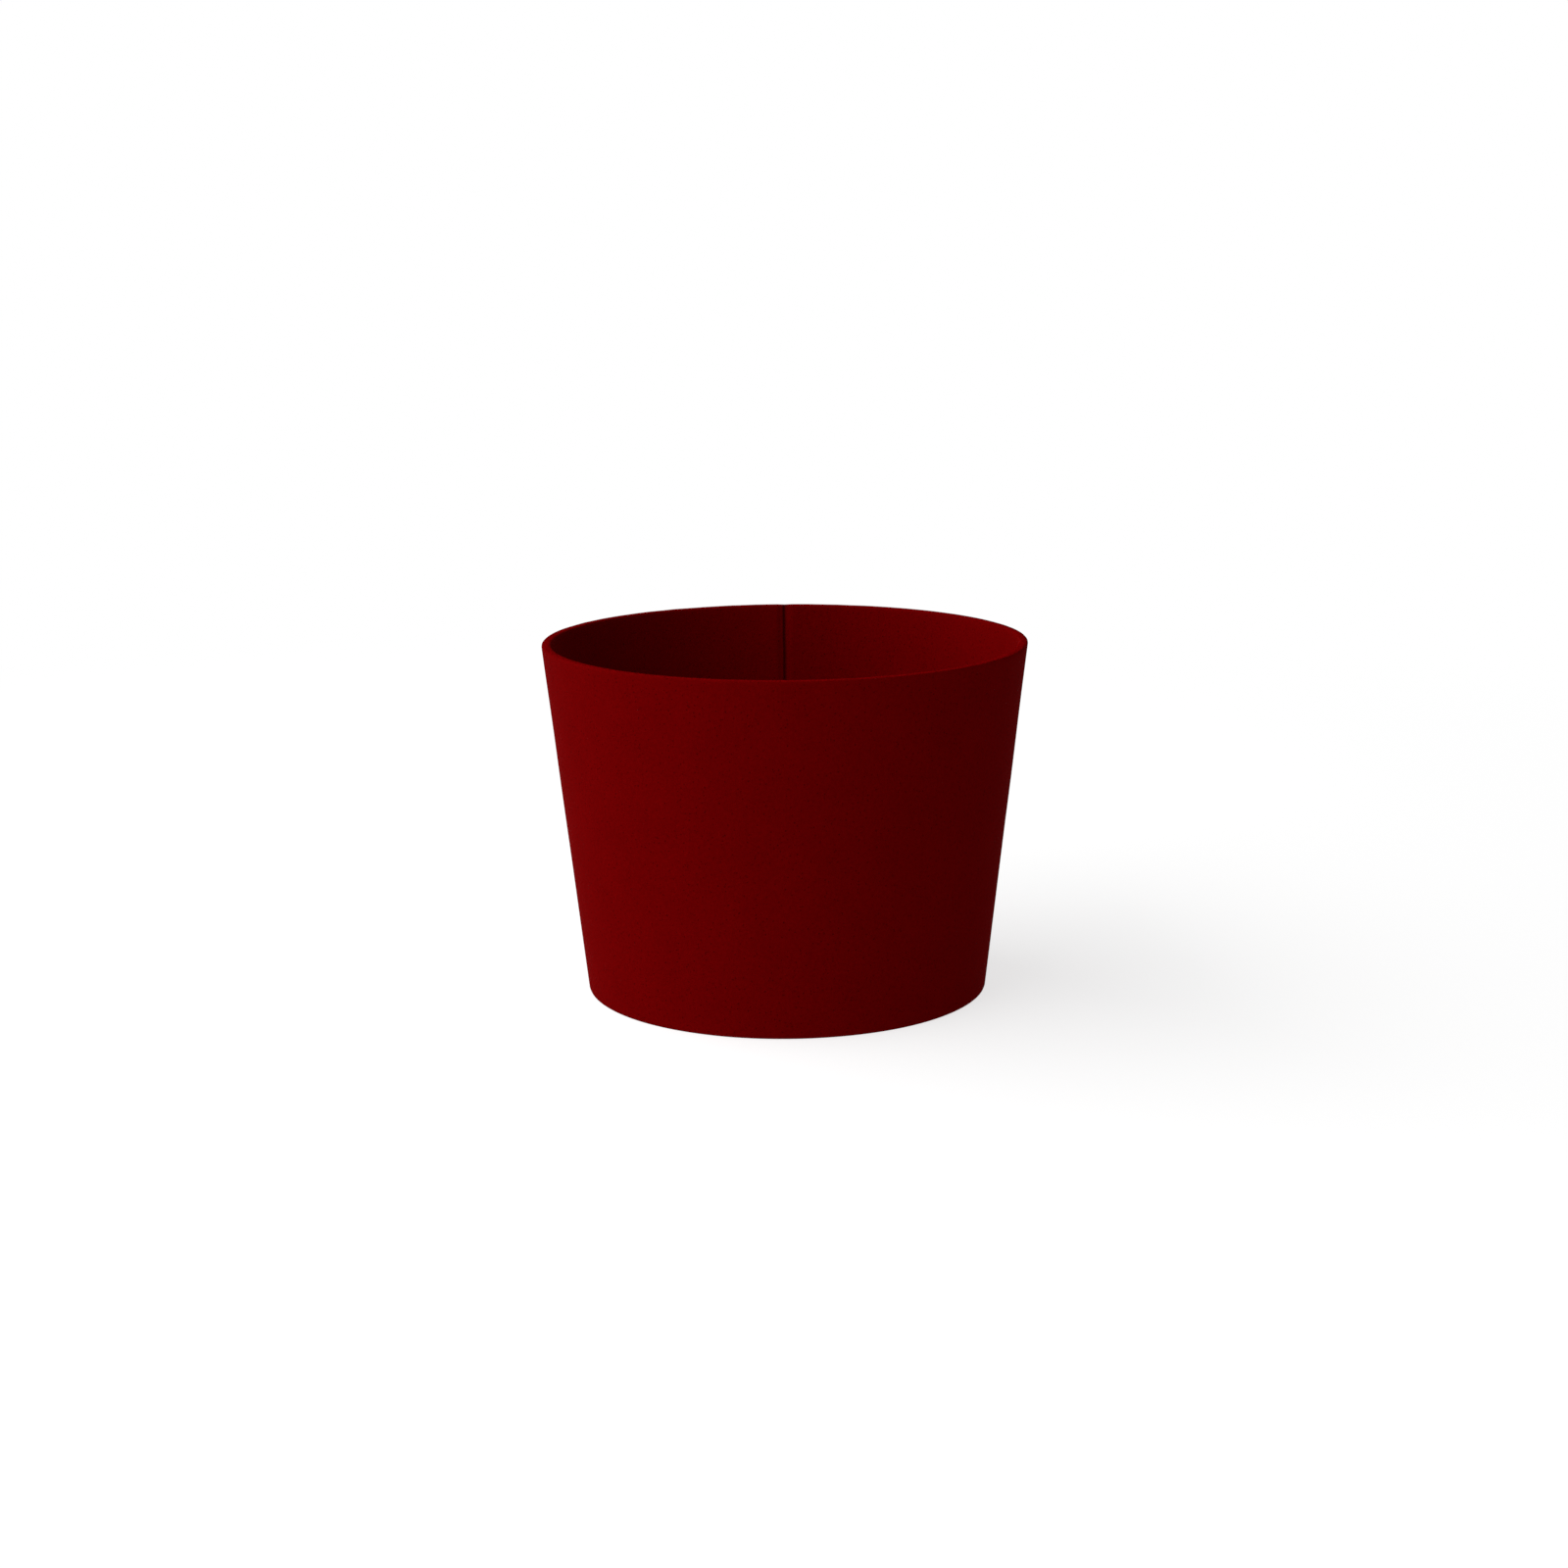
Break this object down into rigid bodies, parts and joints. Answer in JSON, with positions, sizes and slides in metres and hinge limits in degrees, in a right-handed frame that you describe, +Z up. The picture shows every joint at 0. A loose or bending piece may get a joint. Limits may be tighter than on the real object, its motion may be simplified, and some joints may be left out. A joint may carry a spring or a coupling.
{
  "type": "foam cup sleeve",
  "caption": "Tapered open band of thin dark red foam sheet, butt-joined up the back, that slides onto a hot drink cup to insulate the hand.",
  "frame": {"origin": "on the cup's axis, in the plane of the lower rim", "axes": "+Z up along the cup's axis towards the wide end, +Y towards the back, where the seam is, +X to the right as the picture shows it"},
  "size_m": [0.0822, 0.0821, 0.06],
  "materials": {
    "foam": "matte closed-cell foam sheet, dark red all through, with a fine soft grain"
  },
  "bodies": {
    "root": {"cup_sleeve": "foam"}
  },
  "joints": []
}
